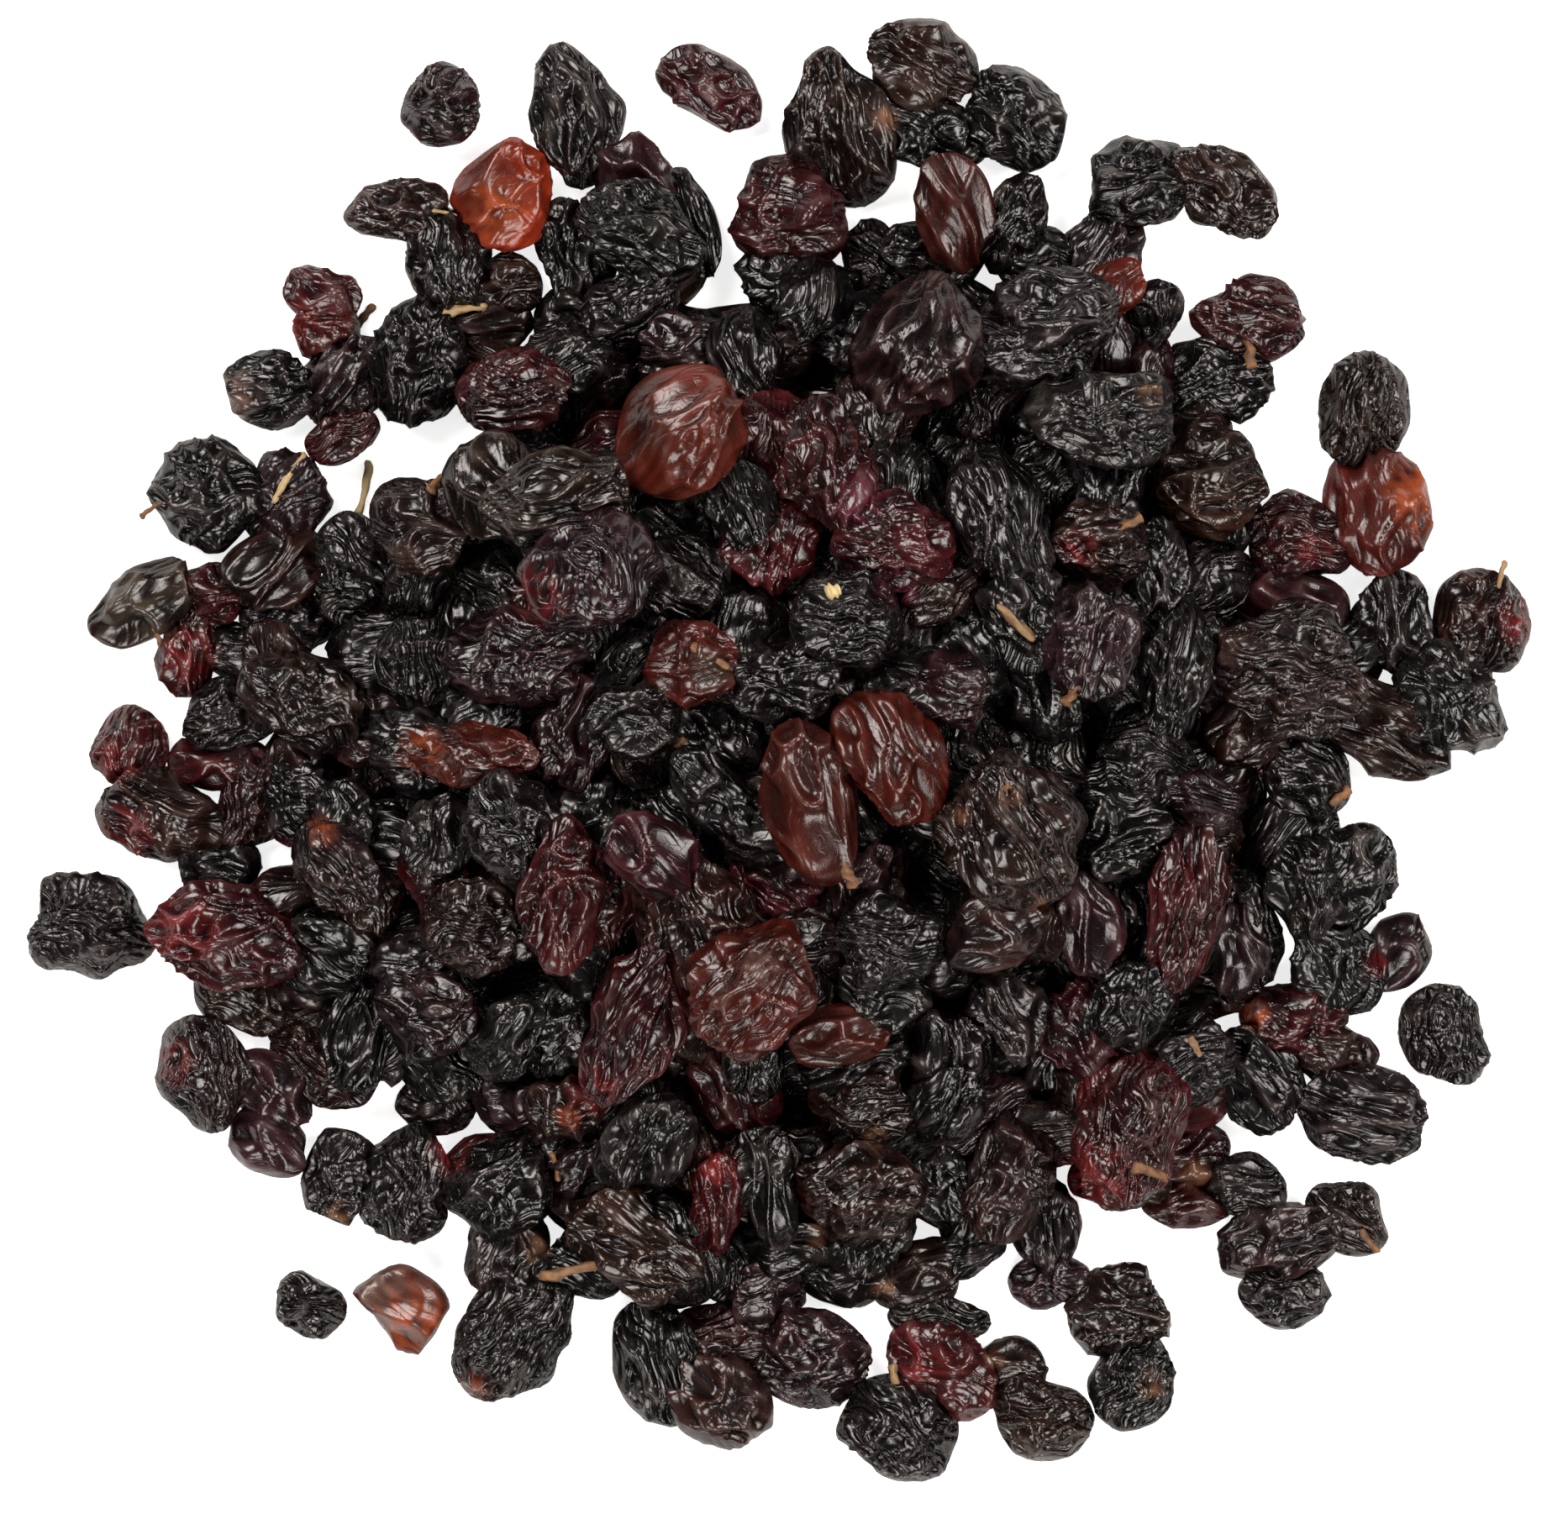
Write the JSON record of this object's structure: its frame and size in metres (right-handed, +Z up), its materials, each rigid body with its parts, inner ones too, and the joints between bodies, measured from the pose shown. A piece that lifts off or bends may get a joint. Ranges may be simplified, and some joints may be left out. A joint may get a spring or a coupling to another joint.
{
  "type": "heap of dried currants",
  "caption": "Loose heap of small wrinkled dried currants, lying as poured, with a few strays beside it.",
  "frame": {"origin": "centre of the overall bounding box at floor level, under the middle of the heap", "axes": "+Z up; +X to the right and +Y to the top of a view from straight above"},
  "size_m": [0.1214, 0.1177, 0.0223],
  "materials": {
    "currant_skin": "dry, finely wrinkled, faint sheen",
    "loose_brown_skin": "dry, wrinkled",
    "loose_red_skin": "dry, wrinkled, slightly translucent",
    "loose_olive_black_skin": "dry, wrinkled",
    "loose_small_black_skin": "dry, wrinkled",
    "loose_tan_skin": "smooth, slightly translucent",
    "loose_round_black_skin": "dry, wrinkled"
  },
  "bodies": {
    "root": {"heap": "currant_skin", "loose_brown": "loose_brown_skin", "loose_red": "loose_red_skin", "loose_olive_black": "loose_olive_black_skin", "loose_small_black": "loose_small_black_skin", "loose_tan": "loose_tan_skin", "loose_round_black": "loose_round_black_skin"}
  },
  "joints": []
}
